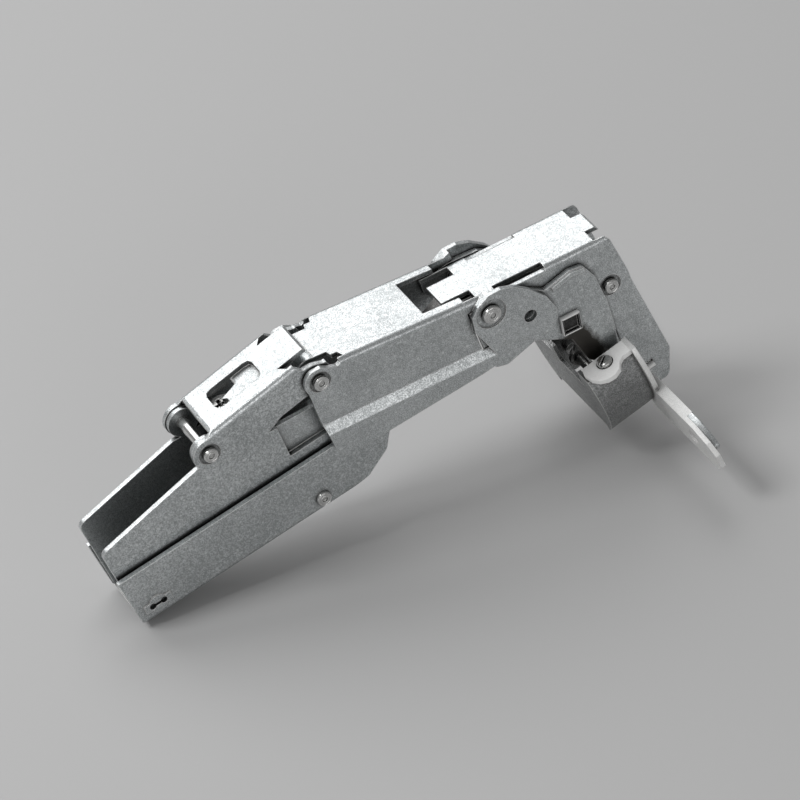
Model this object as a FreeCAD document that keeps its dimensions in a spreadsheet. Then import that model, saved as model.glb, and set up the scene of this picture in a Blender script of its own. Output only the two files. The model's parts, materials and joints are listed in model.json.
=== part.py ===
"""Wide-angle concealed cabinet hinge of pressed steel, cranked round the edge of the door, fully open.

Frame in millimetres: X runs along the arm from its tail to the cup, Y along the pivots with the middle
of the hinge at 0, and Z up from the underside of the arm, which lies on the mounting plate. The origin
is the middle of the arm's fixing hole.
"""
import FreeCAD, Part
import os

import Sketcher

SIZES = {
    # pivots, as they stand in the open hinge
    "tail_x": 20.0,
    "tail_z": 33.5,
    "elbow_x": 49.6,
    "elbow_z": 35.2,
    "cross_x": 92.1,
    "cross_z": 25.5,
    "heel_x": 38.9,
    "heel_z": 3.5,
    "nose_x": 121.8,
    "nose_z": 10.0,
    "door_x": 114.5,
    "door_z": -7.0,
    "toe_x": 112.5,
    "toe_z": -18.0,
    # sheet and fits
    "steel": 1.2,
    "play": 0.2,
    "pin_play": 0.05,
    "pin_radius": 1.5,
    "head_radius": 1.85,
    "head_height": 0.9,
    "dimple_radius": 0.8,
    "bend_radius": 1.6,
    # half widths, from the middle outwards
    "lever_half": 3.9,
    "neck_half": 5.3,
    "tray_half": 6.8,
    "groove": 0.8,
    "link_half": 8.2,
    # arm
    "arm_height": 15.4,
    "arm_tail": -12.4,
    "floor_end": 35.0,
    "ledge_height": 18.2,
    "fixing_radius": 2.1,
    "depth_hole_x": 14.0,
    "depth_hole_radius": 2.6,
    "ear_radius": 4.1,
    "window_half": 3.6,
    "screw_radius": 2.2,
    "screw_head_radius": 3.1,
    # cup
    "cup_x": 119.0,
    "cup_z": -12.6,
    "cup_tilt": -4.8,
    "cup_radius": 17.5,
    "cup_depth": 12.6,
    "cup_bottom": 1.0,
    "cup_play": 1.9,
    "flange_steel": 1.2,
    "wing_reach": 43.6,
    "wing_top": -4.5,
    "wing_height": 11.0,
    "wing_lip": 2.8,
    "door_screw_radius": 1.9,
    "door_screw_y": 32.0,
}

doc = FreeCAD.newDocument("cranked_hinge")
dims = doc.addObject("Spreadsheet::Sheet", "dims")
for row, (size, number) in enumerate(SIZES.items(), start=1):
    dims.set(f"A{row}", size)
    dims.set(f"B{row}", str(number))
    dims.setAlias(f"B{row}", size)
doc.recompute()

# Half widths outside each layer of sheet, each built on the one inside it.
TRAY = "dims.tray_half"
CHANNEL = "(dims.tray_half + dims.groove + dims.steel)"
LINK = "dims.link_half"
FRONT = "(dims.link_half + dims.play / 2)"
SIDE = "(dims.link_half + dims.play * 1.5 + dims.steel)"
EAR = "(dims.link_half + dims.play * 2.5 + dims.steel * 2)"
ROOM = f"({SIDE} + dims.cup_play)"
FAR = 200

parts = []


def place(pivot, along=0.0, up=0.0):
    """A point as two expressions, measured from a named pivot."""
    return (f"dims.{pivot}_x + {along}", f"dims.{pivot}_z + {up}")


def new_body(name):
    body = doc.addObject("PartDesign::Body", name)
    body.Label = name
    parts.append(body)
    return body


def new_sketch(body, role, offset=None):
    """A sketch on one of the body's own origin planes, moved along that plane's normal."""
    sketch = body.newObject("Sketcher::SketchObject", body.Name + "_sketch")
    plane = [feature for feature in body.Origin.OriginFeatures if feature.Role == role][0]
    sketch.AttachmentSupport = [(plane, "")]
    sketch.MapMode = "FlatFace"
    if offset is not None:
        sketch.setExpression("AttachmentOffset.Base.z", offset)
    return sketch


def bind(sketch, kind, first, point, expression):
    """A distance from the origin to a point of the sketch, bound to an expression."""
    value = sketch.evalExpression(expression)
    value = getattr(value, "Value", value)
    number = sketch.addConstraint(Sketcher.Constraint(kind, -1, 1, first, point, float(value)))
    sketch.setExpression(f"Constraints[{number}]", expression)


def outline(body, points, role="XZ_Plane", offset=None):
    """A closed outline of straight lines through points given as pairs of expressions."""
    sketch = new_sketch(body, role, offset)
    corners = []
    for across, up in points:
        pair = [sketch.evalExpression(str(text)) for text in (across, up)]
        pair = [float(getattr(value, "Value", value)) for value in pair]
        corners.append(FreeCAD.Vector(pair[0], pair[1], 0))
    count = len(corners)
    for index in range(count):
        sketch.addGeometry(Part.LineSegment(corners[index], corners[(index + 1) % count]), False)
    for index in range(count):
        sketch.addConstraint(Sketcher.Constraint("Coincident", index, 2, (index + 1) % count, 1))
    for index, (across, up) in enumerate(points):
        bind(sketch, "DistanceX", index, 1, str(across))
        bind(sketch, "DistanceY", index, 1, str(up))
    return sketch


def circles(body, centres, radius, role="XZ_Plane", offset=None):
    """One circle at each centre, all of one radius."""
    sketch = new_sketch(body, role, offset)
    size = sketch.evalExpression(radius)
    size = float(getattr(size, "Value", size))
    for index, (across, up) in enumerate(centres):
        sketch.addGeometry(Part.Circle(FreeCAD.Vector(index * 50, 0, 0), FreeCAD.Vector(0, 0, 1), size))
        bind(sketch, "DistanceX", index, 3, str(across))
        bind(sketch, "DistanceY", index, 3, str(up))
        number = sketch.addConstraint(Sketcher.Constraint("Radius", index, size))
        sketch.setExpression(f"Constraints[{number}]", radius)
    return sketch


def pad(body, sketch, length, both=True, reverse=False):
    feature = body.newObject("PartDesign::Pad", body.Name + "_pad")
    feature.Profile = sketch
    feature.SideType = "Symmetric" if both else "One side"
    feature.Reversed = reverse
    feature.setExpression("Length", length)
    feature.Refine = True
    return feature


def pocket(body, sketch, length, both=True, reverse=False):
    feature = body.newObject("PartDesign::Pocket", body.Name + "_pocket")
    feature.Profile = sketch
    feature.SideType = "Symmetric" if both else "One side"
    feature.Reversed = reverse
    feature.setExpression("Length", length)
    feature.Refine = True
    return feature


def wall_pair(body, points, half):
    """Both side walls of a folded channel and all between them, as one block to hollow out."""
    return pad(body, outline(body, points), f"2 * {half}")


def hollow(body, points, half):
    """The room between the walls."""
    return pocket(body, outline(body, points), f"2 * {half}")


def pin_hole(body, pivot, radius="dims.pin_radius + dims.pin_play"):
    """A hole right across the hinge at a pivot."""
    return pocket(body, circles(body, [place(pivot)], radius), str(FAR))


def lobe(body, pivot, radius, half):
    """A round end at a pivot, across the full width of the channel."""
    return pad(body, circles(body, [place(pivot)], radius), f"2 * {half}")


def dish(body, pivot, half, radius, depth="dims.steel / 3"):
    """A shallow round seat pressed into both outer faces round a rivet head."""
    for side in (1, -1):
        pocket(body, circles(body, [place(pivot)], radius, offset=f"{side} * {half}"), depth, False, side < 0)


def round_edges(body, radius, wanted):
    """Rounds the straight edges that a test of their middle point picks."""
    doc.recompute()
    base = body.Tip
    names = []
    for number, edge in enumerate(base.Shape.Edges, start=1):
        if len(edge.Vertexes) == 2 and wanted(edge.CenterOfMass, edge):
            names.append(f"Edge{number}")
    if not names:
        raise RuntimeError(f"{body.Label}: no edge to round")
    fillet = body.newObject("PartDesign::Fillet", body.Name + "_fillet")
    fillet.Base = (base, names)
    fillet.setExpression("Radius", radius)
    doc.recompute()
    return fillet


def slope_edges(body, inward, down, wanted):
    """Turns a fold into a slope: so far in, and so far down the flank."""
    doc.recompute()
    base = body.Tip
    names = [f"Edge{number}" for number, edge in enumerate(base.Shape.Edges, start=1)
             if len(edge.Vertexes) == 2 and wanted(edge.CenterOfMass, edge)]
    if not names:
        raise RuntimeError(f"{body.Label}: no edge to slope")
    chamfer = body.newObject("PartDesign::Chamfer", body.Name + "_chamfer")
    chamfer.Base = (base, names)
    chamfer.ChamferType = "Two distances"
    chamfer.setExpression("Size", down)
    chamfer.setExpression("Size2", inward)
    doc.recompute()
    return chamfer


def size_of(expression):
    """The present value of an expression."""
    value = dims.evalExpression(expression.replace("dims.", ""))
    return float(getattr(value, "Value", value))


def rivet_axle(name, pivot, half, head_radius="dims.head_radius"):
    """A pin through both walls with a dimpled rivet head outside each one."""
    body = new_body(name)
    centre = [place(pivot)]
    outer = f"({half} + dims.pin_play + dims.head_height)"
    pad(body, circles(body, centre, "dims.pin_radius"), f"2 * {outer}")
    for side in (1, -1):
        face = f"{side} * ({half} + dims.pin_play)"
        top = f"{side} * {outer}"
        pad(body, circles(body, centre, head_radius, offset=face), "dims.head_height", False, side < 0)
        pocket(body, circles(body, centre, "dims.dimple_radius", offset=top), "dims.head_height / 2", False,
               side < 0)
    limit = size_of(half) + size_of("dims.head_height")
    reach = size_of(head_radius)

    def rim(middle, edge):
        return abs(middle.y) > limit and abs(edge.Curve.Radius - reach) < 1e-6

    doc.recompute()
    base = body.Tip
    rims = []
    for number, edge in enumerate(base.Shape.Edges, start=1):
        if isinstance(edge.Curve, Part.Circle) and rim(edge.CenterOfMass, edge):
            rims.append(f"Edge{number}")
    fillet = body.newObject("PartDesign::Fillet", name + "_fillet")
    fillet.Base = (base, rims)
    fillet.setExpression("Radius", "dims.head_height / 2")
    return body


def along_y(edge):
    """True for an edge that runs across the hinge."""
    first, last = (vertex.Point for vertex in edge.Vertexes)
    return abs(first.x - last.x) < 1e-6 and abs(first.z - last.z) < 1e-6


def bend_between(half, first, last):
    """A test for the fold that runs from one point to another, on both flanks."""
    start, end = spot(first), spot(last)
    width = size_of(half)

    def wanted(middle, edge):
        flank = abs(abs(middle.y) - width) < 1e-6
        centred = abs(middle.x - (start[0] + end[0]) / 2) < 0.5 and abs(middle.z - (start[1] + end[1]) / 2) < 0.5
        return flank and centred
    return wanted


def near(points, reach=0.6):
    """A test for edges across the hinge that pass one of the given points in X and Z."""
    def wanted(middle, edge):
        close = any(abs(middle.x - x) < reach and abs(middle.z - z) < reach for x, z in points)
        return close and along_y(edge)
    return wanted


def spot(pair):
    """The present place of a pair of expressions."""
    return tuple(size_of(str(text)) for text in pair)


# The outer trough of the arm lies on the mounting plate and carries the lower pivot.
outer_channel = new_body("arm_outer_channel")
outer_side = [
    ("dims.arm_tail", "dims.arm_height"),
    ("dims.arm_tail + 0.9", "1.4"),
    ("dims.arm_tail + 2.1", "0"),
    ("dims.heel_x + 5", "0"),
    ("dims.heel_x + 12", "1.4"),
    ("dims.heel_x + 18.5", "5.6"),
    ("dims.heel_x + 21.4", "11"),
    ("dims.heel_x + 20", "dims.arm_height"),
]
wall_pair(outer_channel, outer_side, CHANNEL)
round_edges(outer_channel, "2.5", near([spot(outer_side[5]), spot(outer_side[6])]))
round_edges(outer_channel, "dims.bend_radius", bend_between(CHANNEL, outer_side[2], outer_side[3]))
hollow(outer_channel, [
    ("dims.arm_tail - 9", "dims.steel"),
    ("dims.floor_end", "dims.steel"),
    ("dims.floor_end", "-5"),
    ("dims.heel_x + 40", "-5"),
    ("dims.heel_x + 40", "60"),
    ("dims.arm_tail - 9", "60"),
], f"({CHANNEL} - dims.steel)")
pin_hole(outer_channel, "heel")
for side in (1, -1):
    # a low oval bead stiffens the wall round the slot
    bead = f"{side} * {CHANNEL}"
    pad(outer_channel, circles(outer_channel, [("dims.arm_tail + 6.2", "4.1")], "2.4", offset=bead),
        "dims.steel / 4", False, side < 0)
    pad(outer_channel, outline(outer_channel, [
        ("dims.arm_tail + 2.6", "2.9"),
        ("dims.arm_tail + 9.8", "2.9"),
        ("dims.arm_tail + 9.8", "5.3"),
        ("dims.arm_tail + 2.6", "5.3"),
    ], offset=bead), "dims.steel / 4", False, side < 0)
for across in ("-1.5", "1.5"):
    # two small round holes and the neck between them make the dumbbell slot at the tail
    pocket(outer_channel, circles(outer_channel, [(f"dims.arm_tail + 6.2 + {across}", "4.1")], "0.85"), str(FAR))
pocket(outer_channel, outline(outer_channel, [
    ("dims.arm_tail + 4.7", "3.7"),
    ("dims.arm_tail + 7.7", "3.7"),
    ("dims.arm_tail + 7.7", "4.5"),
    ("dims.arm_tail + 4.7", "4.5"),
]), str(FAR))
for hole_x, hole_radius in (("0", "dims.fixing_radius"), ("dims.depth_hole_x", "dims.depth_hole_radius")):
    pocket(outer_channel, circles(outer_channel, [(hole_x, "0")], hole_radius, "XY_Plane"), "10")

# The inner trough slides in the outer one for the depth setting and has the two raised ears.
inner_channel = new_body("arm_inner_channel")
FLOOR = "(dims.steel + dims.play / 2)"
inner_side = [
    ("dims.arm_tail + 0.1", "24"),
    ("dims.arm_tail + 1.1", FLOOR),
    ("dims.floor_end + 1.6", FLOOR),
    ("dims.floor_end + 1.6", "dims.tail_z - 5.8"),
    ("dims.tail_x + 5.5", "dims.tail_z - 3.5"),
    ("dims.tail_x - 4.3", "dims.tail_z - 3.2"),
]
wall_pair(inner_channel, inner_side, TRAY)
round_edges(inner_channel, "2", near([spot(inner_side[0]), spot(inner_side[1])]))
lobe(inner_channel, "tail", "dims.ear_radius - 0.3", TRAY)
neck_side = [
    ("dims.floor_end", "dims.ledge_height - dims.steel"),
    ("dims.heel_x + 8.6", "dims.ledge_height - dims.steel"),
    ("dims.heel_x + 8.6", "dims.tail_z - 7.6"),
    ("dims.floor_end", "dims.tail_z - 6.4"),
]
wall_pair(inner_channel, neck_side, "dims.neck_half")
heel_side = [
    ("dims.floor_end", "dims.heel_z - 1.6"),
    ("dims.heel_x + 3.5", "dims.heel_z - 2.1"),
    ("dims.heel_x + 8.6", "dims.heel_z + 3"),
    ("dims.heel_x + 8.6", "dims.ledge_height"),
    ("dims.floor_end", "dims.ledge_height"),
]
wall_pair(inner_channel, heel_side, TRAY)
hollow(inner_channel, [
    ("dims.floor_end + 0.4", "-9"),
    ("dims.heel_x + 40", "-9"),
    ("dims.heel_x + 40", "dims.ledge_height - dims.steel"),
    ("dims.floor_end + 0.4", "dims.ledge_height - dims.steel"),
], f"({TRAY} - dims.steel)")
hollow(inner_channel, [
    ("dims.arm_tail - 9", f"{FLOOR} + dims.steel"),
    ("dims.floor_end + 0.4", f"{FLOOR} + dims.steel"),
    ("dims.floor_end + 0.4", "60"),
    ("dims.arm_tail - 9", "60"),
], f"({TRAY} - dims.steel)")
hollow(inner_channel, [
    ("dims.floor_end + 0.4", "-9"),
    ("dims.heel_x + 40", "-9"),
    ("dims.heel_x + 40", "60"),
    ("dims.floor_end + 0.4", "60"),
], "(dims.neck_half - dims.steel)")
bridge = [
    ("dims.tail_x + 4.6", "dims.tail_z - 6.9"),
    ("dims.floor_end + 1", "dims.tail_z - 7.5"),
    ("dims.floor_end + 1", "dims.tail_z - 6.3"),
    ("dims.tail_x + 4.6", "dims.tail_z - 5.7"),
]
pad(inner_channel, outline(inner_channel, bridge), f"2 * ({TRAY} - dims.steel / 2)")
pin_hole(inner_channel, "tail", "dims.pin_radius")
pin_hole(inner_channel, "heel", "dims.pin_radius")
SCREW_X = "(dims.tail_x + 8.6)"
pocket(inner_channel, circles(inner_channel, [(SCREW_X, "0")], "dims.screw_radius", "XY_Plane",
                              "dims.tail_z - 12"), "12", False, True)
for hole_x, hole_radius in (("0", "dims.fixing_radius"), ("dims.depth_hole_x", "dims.depth_hole_radius")):
    pocket(inner_channel, circles(inner_channel, [(hole_x, "0")], hole_radius, "XY_Plane"), "10")


def set_screw(name, across, low, seat, high, shank):
    """An upright screw with a round head and a cross slot."""
    body = new_body(name)
    centre = [(across, "0")]
    pad(body, circles(body, centre, shank, "XY_Plane", low), f"{seat} - {low}", False)
    pad(body, circles(body, centre, "dims.screw_head_radius", "XY_Plane", seat), f"{high} - {seat}", False)
    for width, length in (("0.45", "1.9"), ("1.9", "0.45")):
        pocket(body, outline(body, [
            (f"{across} - {width}", f"-{length}"),
            (f"{across} + {width}", f"-{length}"),
            (f"{across} + {width}", length),
            (f"{across} - {width}", length),
        ], "XY_Plane", high), "1.2", False)
    return body


side_screw = set_screw("side_adjust_screw", SCREW_X, "(dims.tail_z - 12)", "(dims.tail_z + 1.4)",
                       "(dims.tail_z + 3.6)", "dims.screw_radius - dims.pin_play")
depth_screw = set_screw("depth_cam_screw", "dims.depth_hole_x", "0.1", f"({FLOOR} + dims.steel + dims.pin_play)",
                        f"({FLOOR} + dims.steel + 2.2)", "dims.depth_hole_radius - dims.pin_play")

tail_axle = rivet_axle("tail_axle", "tail", LINK)
heel_axle = rivet_axle("heel_axle", "heel", CHANNEL)

# The short link swings on the raised ears; a window in its top opens over the side screw.
small_link = new_body("small_link")
link_side = [
    place("tail", -2.2, 2.6),
    place("tail", 3.0, 5.2),
    place("elbow", 0.3, 7.3),
    place("elbow", 3.2, 4.4),
    place("elbow", 4.2, 0),
    place("elbow", 0, -4.2),
    place("elbow", -4.0, -2.9),
    place("tail", 18.3, -2.2),
    place("tail", 13.2, -4.6),
    place("tail", 6.4, -5.6),
    place("tail", 1.8, -4.4),
]
wall_pair(small_link, link_side, LINK)
round_edges(small_link, "4", near([spot(link_side[7]), spot(link_side[8])]))
round_edges(small_link, "dims.bend_radius", bend_between(LINK, link_side[1], link_side[2]))
lobe(small_link, "tail", "dims.ear_radius", LINK)
lobe(small_link, "elbow", "4.2", LINK)
hollow(small_link, [
    ("dims.tail_x - 12", "dims.tail_z + 20"),
    ("dims.tail_x + 2.2", "dims.tail_z + 20"),
    ("dims.tail_x + 2.2", "dims.tail_z + 4.8 - dims.steel"),
    ("dims.tail_x + 3.0", "dims.tail_z + 5.1 - dims.steel"),
    ("dims.elbow_x + 0.9", "dims.elbow_z + 7.3 - dims.steel"),
    ("dims.elbow_x + 1.4", "dims.elbow_z + 20"),
    ("dims.elbow_x + 15", "dims.elbow_z + 20"),
    ("dims.elbow_x + 15", "0"),
    ("dims.tail_x - 12", "0"),
], f"({LINK} - dims.steel)")
pin_hole(small_link, "tail")
pin_hole(small_link, "elbow")
WINDOW = "dims.window_half"
LEFT = "dims.tail_x + 6.8"
RIGHT = "dims.tail_x + 19.6"
pocket(small_link, outline(small_link, [
    (f"{LEFT}", "-0.55 * dims.window_half"),
    (f"{LEFT} + 0.5", "-0.9 * dims.window_half"),
    (f"{LEFT} + 1.8", f"-{WINDOW}"),
    (f"{RIGHT} - 1.8", f"-{WINDOW}"),
    (f"{RIGHT} - 0.5", "-0.9 * dims.window_half"),
    (f"{RIGHT}", "-0.55 * dims.window_half"),
    (f"{RIGHT}", "0.55 * dims.window_half"),
    (f"{RIGHT} - 0.5", "0.9 * dims.window_half"),
    (f"{RIGHT} - 1.8", f"{WINDOW}"),
    (f"{LEFT} + 1.8", f"{WINDOW}"),
    (f"{LEFT} + 0.5", "0.9 * dims.window_half"),
    (f"{LEFT}", "0.55 * dims.window_half"),
], "XY_Plane"), str(FAR))
for side in (1, -1):
    # the web is narrower beside the elbow, and the flanks fall away to their round ends
    pocket(small_link, outline(small_link, [
        ("dims.elbow_x - 6.8", f"{side} * 5.1"),
        ("dims.elbow_x + 6", f"{side} * 5.1"),
        ("dims.elbow_x + 6", f"{side} * ({LINK} - dims.steel)"),
        ("dims.elbow_x - 5.2", f"{side} * ({LINK} - dims.steel)"),
    ], "XY_Plane"), str(FAR))
    pocket(small_link, outline(small_link, [
        place("elbow", -3.8, 12),
        place("elbow", -3.8, 6.2),
        place("elbow", -2.2, 4.4),
        place("elbow", 0.2, 4.2),
        place("elbow", 2.9, 3.0),
        place("elbow", 9, 3.0),
        place("elbow", 9, 12),
    ], offset=f"{side} * ({LINK} - dims.steel - 0.1)"), "5", False, side > 0)
# A second thickness under the window leaves a slanting gap over the screw.
pad(small_link, outline(small_link, [
    ("dims.tail_x + 5.4", "dims.tail_z + 5.4 - dims.steel"),
    ("dims.tail_x + 5.4", "dims.tail_z + 5.5 - 2 * dims.steel"),
    ("dims.tail_x + 21.2", "dims.tail_z + 7.8 - 2 * dims.steel"),
    ("dims.tail_x + 21.2", "dims.tail_z + 7.7 - dims.steel"),
]), "9.6")
pocket(small_link, outline(small_link, [
    (f"{LEFT} - 1.6", f"-{WINDOW}"),
    (f"{LEFT} + 3.6", f"-{WINDOW}"),
    (f"{LEFT} + 3.6", "-0.25 * dims.window_half"),
    (f"{LEFT} + 2.6", "0"),
    (f"{RIGHT} - 0.4", "0.72 * dims.window_half"),
    (f"{RIGHT} - 0.4", f"{WINDOW}"),
    (f"{LEFT} - 1.6", f"{WINDOW}"),
], "XY_Plane", "dims.tail_z + 1"), "4.4", False, True)
dish(small_link, "tail", LINK, "2.7")

# The middle link: a long channel over the levers, its lower flanks and front ears set out by one sheet.
middle_link = new_body("middle_link")
upper_side = [
    place("elbow", -3.7, -12.9),
    place("elbow", -3.5, -1),
    place("elbow", 2.0, 3.38),
    place("cross", 1.5, 4.3),
    place("cross", 1.5, 3.0),
    place("cross", -4.9, 2.6),
    place("cross", -4.9, -10.2),
]
wall_pair(middle_link, upper_side, SIDE)
round_edges(middle_link, "dims.bend_radius", bend_between(SIDE, upper_side[2], upper_side[3]))
lobe(middle_link, "elbow", "3.8", SIDE)
lower_side = [
    place("elbow", -3.7, -11.9),
    place("elbow", -3.4, -19.7),
    place("elbow", -1.3, -23.1),
    place("elbow", 9.9, -23.2),
    place("cross", -7.6, -14.6),
    place("cross", -3.4, -14.5),
    place("cross", -1.4, -9.9),
    place("cross", 2.7, -11.3),
    place("cross", 7.9, -14.4),
    place("cross", 11.8, -14.6),
    place("cross", 14.3, -12.4),
    place("cross", 14.9, -9.5),
    place("cross", 13.7, -4.9),
    place("cross", 10.6, -0.2),
    place("cross", 7.4, 3.1),
    place("cross", 4.2, 4.8),
    place("cross", 0.9, 5.1),
    place("cross", -2.4, 3.7),
    place("cross", -4.6, 1.6),
    place("cross", -5.2, -2.5),
    place("cross", -3.2, -9.2),
]
wall_pair(middle_link, lower_side, EAR)
round_edges(middle_link, "1.5", near([spot(lower_side[index]) for index in (1, 2, 7, 10, 12, 14, 16)]))
slope_edges(middle_link, f"{EAR} - {SIDE} - 0.05", "2.4", bend_between(EAR, lower_side[-1], lower_side[0]))
hollow(middle_link, [
    ("dims.elbow_x - 20", "dims.elbow_z + 3 + 0.212 * 23.8 - dims.steel"),
    ("dims.elbow_x + 3.8", "dims.elbow_z + 3 - dims.steel"),
    ("dims.cross_x - 4.4", "dims.cross_z + 5.5 - dims.steel"),
    ("dims.cross_x - 4.4", "dims.cross_z + 40"),
    ("dims.cross_x + 60", "dims.cross_z + 40"),
    ("dims.cross_x + 60", "-30"),
    ("dims.elbow_x - 20", "-30"),
], f"({SIDE} - dims.steel)")
hollow(middle_link, [
    ("dims.elbow_x - 20", "dims.elbow_z - 12.9 + 0.181 * 15.8"),
    ("dims.elbow_x - 4.2", "dims.elbow_z - 12.9"),
    ("dims.cross_x - 4.9", "dims.cross_z - 10.2"),
    ("dims.cross_x - 4.9", "dims.cross_z + 2.6"),
    ("dims.cross_x + 1.5", "dims.cross_z + 3.0"),
    ("dims.cross_x + 1.5", "dims.cross_z + 40"),
    ("dims.cross_x + 60", "dims.cross_z + 40"),
    ("dims.cross_x + 60", "-30"),
    ("dims.elbow_x - 20", "-30"),
], f"({EAR} - dims.steel)")
pocket(middle_link, outline(middle_link, [
    ("dims.cross_x - 13.6", "-6.6"),
    ("dims.cross_x + 9", "-6.6"),
    ("dims.cross_x + 9", "6.6"),
    ("dims.cross_x - 13.6", "6.6"),
], "XY_Plane"), str(FAR))
for side in (1, -1):
    pocket(middle_link, outline(middle_link, [
        ("dims.elbow_x - 6", f"{side} * 5.2"),
        ("dims.elbow_x + 5.0", f"{side} * 5.2"),
        ("dims.elbow_x + 5.4", f"{side} * 6.7"),
        ("dims.elbow_x + 7.0", f"{side} * 6.7"),
        ("dims.elbow_x + 7.6", f"{side} * ({SIDE} - dims.steel)"),
        ("dims.elbow_x - 6", f"{side} * ({SIDE} - dims.steel)"),
    ], "XY_Plane"), str(FAR))
    pocket(middle_link, outline(middle_link, [
        place("elbow", -1, 9),
        place("elbow", -1, 3.7),
        place("elbow", 1.4, 3.5),
        place("elbow", 3.0, 2.3),
        place("elbow", 5.2, 1.2),
        place("elbow", 6.1, 1.6),
        place("elbow", 6.1, 9),
    ], offset=f"{side} * ({SIDE} - dims.steel - 0.1)"), "5", False, side > 0)
pin_hole(middle_link, "elbow", "dims.pin_radius")
pin_hole(middle_link, "cross")
pocket(middle_link, circles(middle_link, [place("cross", 8.4, -7.3)], "1.65"), str(FAR))

dish(middle_link, "cross", EAR, "3.9")
dish(middle_link, "elbow", SIDE, "2.7")

# Short rivets stand in the elbow ears of the middle link and stop short of the small link.
for side, name in ((1, "elbow_rivet_near"), (-1, "elbow_rivet_far")):
    rivet = new_body(name)
    centre = [place("elbow")]
    inside = f"{side} * ({SIDE} - dims.steel)"
    pad(rivet, circles(rivet, centre, "dims.pin_radius", offset=inside), "dims.steel + dims.pin_play", False,
        side < 0)
    face = f"{side} * ({SIDE} + dims.pin_play)"
    pad(rivet, circles(rivet, centre, "dims.head_radius", offset=face), "dims.head_height", False, side < 0)
    top = f"{side} * ({SIDE} + dims.pin_play + dims.head_height)"
    pocket(rivet, circles(rivet, centre, "dims.dimple_radius", offset=top), "dims.head_height / 2", False,
           side < 0)

# The cup lever is fixed to the ears of the middle link and runs down into the cup.
cup_lever = new_body("cup_lever")
lever_side = [
    place("cross", -4.4, 2.2),
    place("cross", -4.4, -12.5),
    place("cross", -3.6, -16.4),
    place("cross", -0.6, -17.6),
    place("cross", 7.6, -16.0),
    place("door", -6.4, 10.4),
    place("door", -4.6, 2.0),
    place("door", 0, -3.2),
    place("door", 3.2, 0),
    place("door", 4.3, 6.0),
    place("door", 4.8, 14.5),
    place("door", 4.2, 23.5),
    place("door", 2.4, 28.2),
    place("door", -1.0, 29.2),
    place("door", -8.1, 28.2),
    place("cross", 7.9, 1.0),
    place("cross", 0, 2.6),
]
wall_pair(cup_lever, lever_side, SIDE)
round_edges(cup_lever, "1.2", near([spot(lever_side[index]) for index in (2, 3, 6, 7, 8, 12)]))
hollow(cup_lever, [
    ("dims.cross_x - 20", "dims.cross_z + 20"),
    ("dims.cross_x - 20", "dims.cross_z - 40"),
    ("dims.cross_x + 7.0", "dims.cross_z - 40"),
    ("dims.cross_x + 7.0", "dims.cross_z - 15.6"),
    ("dims.cross_x + 9.2", "dims.cross_z - 15.0"),
    ("dims.door_x - 5.4", "dims.door_z + 11"),
    ("dims.door_x - 4.0", "dims.door_z + 6"),
    ("dims.door_x - 6.4", "dims.door_z - 20"),
    ("dims.door_x + 30", "dims.door_z - 20"),
    ("dims.door_x + 30", "dims.cross_z + 20"),
], f"({SIDE} - dims.steel)")
for side in (1, -1):
    rim = outline(cup_lever, [
        place("door", -6.6, 26.9),
        place("door", -1.2, 27.8),
        place("door", 1.4, 27.0),
        place("door", 2.2, 26.4),
        place("door", 2.4, 27.9),
        place("door", -1.0, 28.9),
        place("door", -6.6, 28.1),
    ], offset=f"{side} * {SIDE}")
    pad(cup_lever, rim, "dims.steel / 2", False, side < 0)
pocket(cup_lever, outline(cup_lever, [
    place("door", -7.6, 13.9),
    place("door", -3.9, 13.3),
    place("door", -3.3, 17.3),
    place("door", -7.0, 17.9),
]), str(FAR))
pin_hole(cup_lever, "cross")
pin_hole(cup_lever, "door")
pocket(cup_lever, circles(cup_lever, [place("cross", 8.4, -7.3)], "1.65"), str(FAR))

# The front link: the cranked channel that reaches round the edge of the door.
front_link = new_body("front_link")
front_side = [
    place("cross", -8.0, 4.2),
    place("cross", -8.0, -1.0),
    place("cross", -3.5, -5.2),
    place("cross", 6, -7.0),
    place("cross", 14, -12.0),
    place("door", 0.5, 11),
    place("door", 4.7, 4.5),
    place("door", 4.9, -11),
    place("nose", 1.6, -35.2),
    place("nose", 5.6, -35.4),
    place("nose", 8.1, -27.4),
    place("nose", 5.3, -1.7),
    place("nose", 5.3, 1.2),
    place("nose", 4.0, 11.9),
    place("nose", 3.0, 13.6),
]
wall_pair(front_link, front_side, FRONT)
round_edges(front_link, "2", near([spot(front_side[index]) for index in (2, 5, 6, 7, 9, 10)]))
round_edges(front_link, "dims.bend_radius", bend_between(FRONT, front_side[-1], front_side[0]))
hollow(front_link, [
    ("dims.cross_x - 20", "dims.cross_z + 4.4 + 0.155 * 10.9 - dims.steel"),
    ("dims.cross_x - 8.0", "dims.cross_z + 4.2 - dims.steel"),
    ("dims.nose_x + 3.0", "dims.nose_z + 13.6 - dims.steel"),
    ("dims.nose_x + 30", "dims.nose_z + 9.4 - dims.steel"),
    ("dims.nose_x + 30", "-60"),
    ("dims.cross_x - 20", "-60"),
], f"({FRONT} - dims.steel)")
for side in (1, -1):
    for low_x, high_x, inner, outer in (("dims.nose_x + 0.4", "dims.nose_x + 6", "3.2", "7.3"),
                                        ("dims.cross_x - 20", "dims.cross_x - 0.8", "3.6", "7.0"),
                                        ("dims.cross_x + 3.9", "dims.nose_x - 13", "5.9", "7.1")):
        pocket(front_link, outline(front_link, [
            (low_x, f"{side} * {inner}"),
            (high_x, f"{side} * {inner}"),
            (high_x, f"{side} * {outer}"),
            (low_x, f"{side} * {outer}"),
        ], "XY_Plane", "dims.nose_z + 8"), "20", False, True)
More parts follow.
